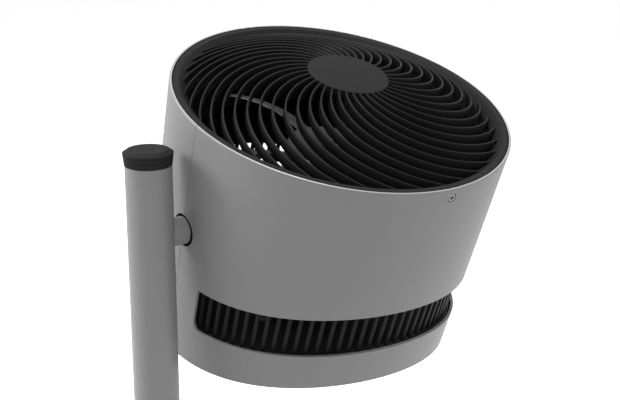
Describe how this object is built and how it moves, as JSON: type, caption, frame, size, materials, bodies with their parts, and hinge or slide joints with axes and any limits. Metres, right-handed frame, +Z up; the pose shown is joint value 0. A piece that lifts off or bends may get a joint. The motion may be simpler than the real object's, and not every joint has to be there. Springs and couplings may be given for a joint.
{
  "type": "tilting pole fan",
  "caption": "Floor fan with a tapered drum head on a side pivot, spiral outlet grille, slotted intake and a round weighted base.",
  "frame": {"origin": "centre of the underside of the round base, on the floor", "axes": "+Z up; +X from the pole towards the fan head, along the tilt axis; the head leans and blows towards -Y"},
  "size_m": [0.4099, 0.3822, 1.1014],
  "materials": {
    "shell_grey": "satin, fine moulded texture",
    "pole_grey": "satin powder coat",
    "black_plastic": "matt",
    "grille_black": "satin",
    "impeller_grey": "satin",
    "steel": "zinc plated",
    "dark_steel": "black e-coat",
    "cast_iron": "as cast",
    "rubber": "matt",
    "copper": "enamelled winding",
    "board_green": "solder mask"
  },
  "bodies": {
    "stand": {"base_pad": "rubber", "base_plate": "dark_steel", "base_weight": "cast_iron", "base_cover": "shell_grey", "power_inlet": "black_plastic", "pole_spigot": "steel", "pole_bolt_1": "steel", "pole_bolt_2": "steel", "pole_bolt_3": "steel", "pole_tube": "pole_grey", "arm_block": "steel", "dock_plug": "black_plastic", "dock_magnet": "steel", "supply_cable": "rubber", "pivot_arm": "pole_grey", "friction_washer_outer": "black_plastic", "friction_washer_inner": "black_plastic", "spring_washer": "steel", "pivot_nut": "steel"},
    "head": {"front_shell": "shell_grey", "rear_shell": "shell_grey", "outlet_grille": "grille_black", "hub_cap": "black_plastic", "front_intake_grille": "grille_black", "rear_intake_grille": "grille_black", "bottom_cover": "black_plastic", "air_duct": "black_plastic", "motor_mount": "black_plastic", "tilt_bracket": "steel", "pivot_seal": "rubber", "rim_screw_front": "pole_grey", "rim_screw_rear": "pole_grey", "bracket_screw_1": "steel", "bracket_screw_2": "steel", "control_board": "board_green", "board_bracket": "steel", "motor_housing": "dark_steel", "motor_end_cap": "dark_steel", "stator": "copper", "lower_bearing": "steel", "upper_bearing": "steel", "motor_screw_1": "steel", "motor_screw_2": "steel", "motor_screw_3": "steel"},
    "spinner": {"rotor": "steel", "motor_shaft": "steel", "impeller": "impeller_grey", "impeller_nut": "steel"},
    "remote": {"remote_lower_shell": "black_plastic", "remote_upper_shell": "black_plastic", "remote_magnet": "steel", "coin_cell": "steel"},
    "remote_key": {"remote_button": "black_plastic"}
  },
  "joints": [
    {"name": "head_tilt", "type": "hinge", "parent": "stand", "child": "head", "pos_m": [0.06, 0, 0.94], "axis": [1, 0, 0], "range_deg": [-18, 72]},
    {"name": "impeller_spin", "type": "hinge", "parent": "head", "child": "spinner", "pos_m": [0.06, 0, 0.94], "axis": [0, -0.309, 0.9511], "continuous": true},
    {"name": "remote_lift", "type": "slide", "parent": "stand", "child": "remote", "axis": [0, 0, 1], "range_m": [0, 0.08]},
    {"name": "remote_key_press", "type": "slide", "parent": "remote", "child": "remote_key", "axis": [0, 0, -1], "range_m": [0, 0.001], "stiffness_N_per_m": 500}
  ]
}
